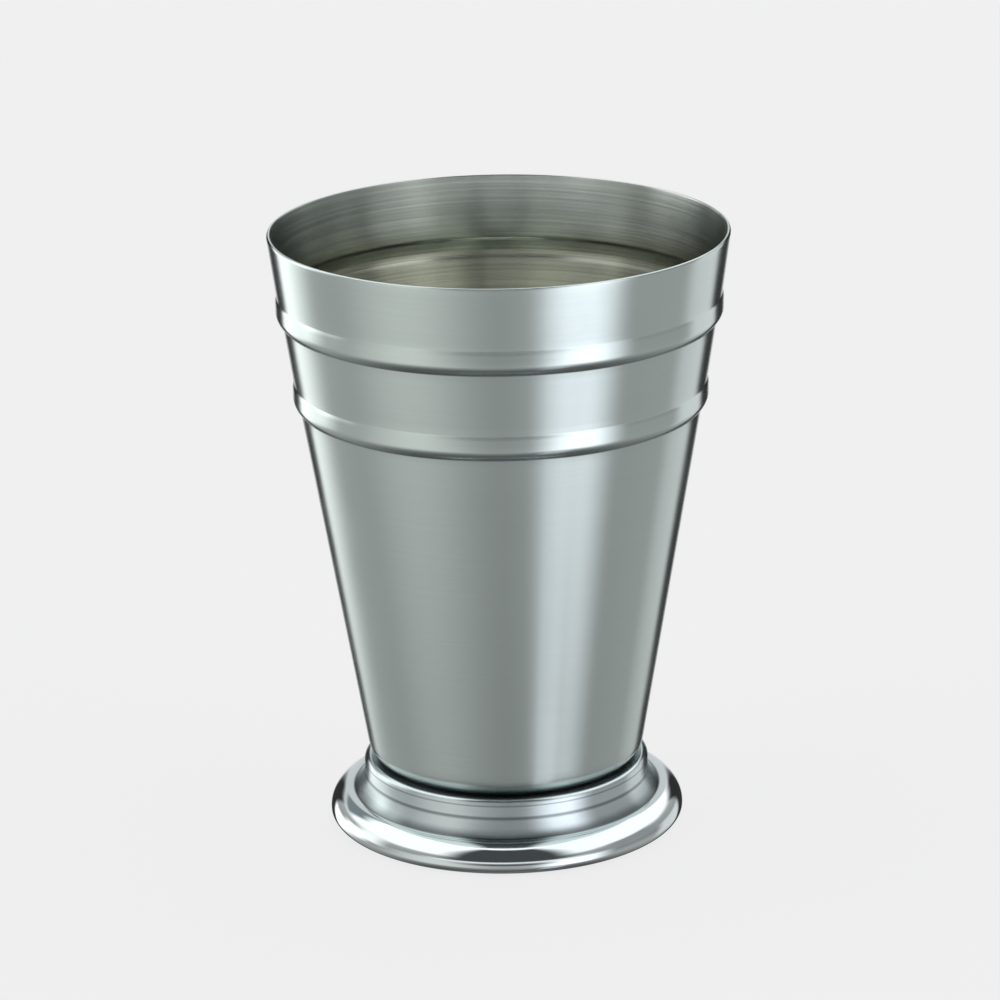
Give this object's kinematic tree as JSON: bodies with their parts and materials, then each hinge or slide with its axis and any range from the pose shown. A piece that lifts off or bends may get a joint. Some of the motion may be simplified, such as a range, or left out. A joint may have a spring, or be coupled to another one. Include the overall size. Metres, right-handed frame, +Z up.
{
  "type": "julep cup",
  "caption": "Tapered steel drinking cup with rolled beads round its upper wall, brazed to a stamped foot with a rolled edge.",
  "frame": {"origin": "centre of the circle on the table that the foot stands on", "axes": "+Z up along the axis of the cup; X and Y are free, because every piece is round about Z"},
  "size_m": [0.0858, 0.0858, 0.1154],
  "materials": {
    "satin_steel": "drawn stainless steel, softly polished outside, with fine turning marks inside",
    "polished_steel": "mirror-polished stainless steel",
    "braze_filler": "silver brazing alloy, dull as it flowed"
  },
  "bodies": {
    "root": {"bowl": "satin_steel", "foot": "polished_steel", "braze_ring": "braze_filler"}
  },
  "joints": []
}
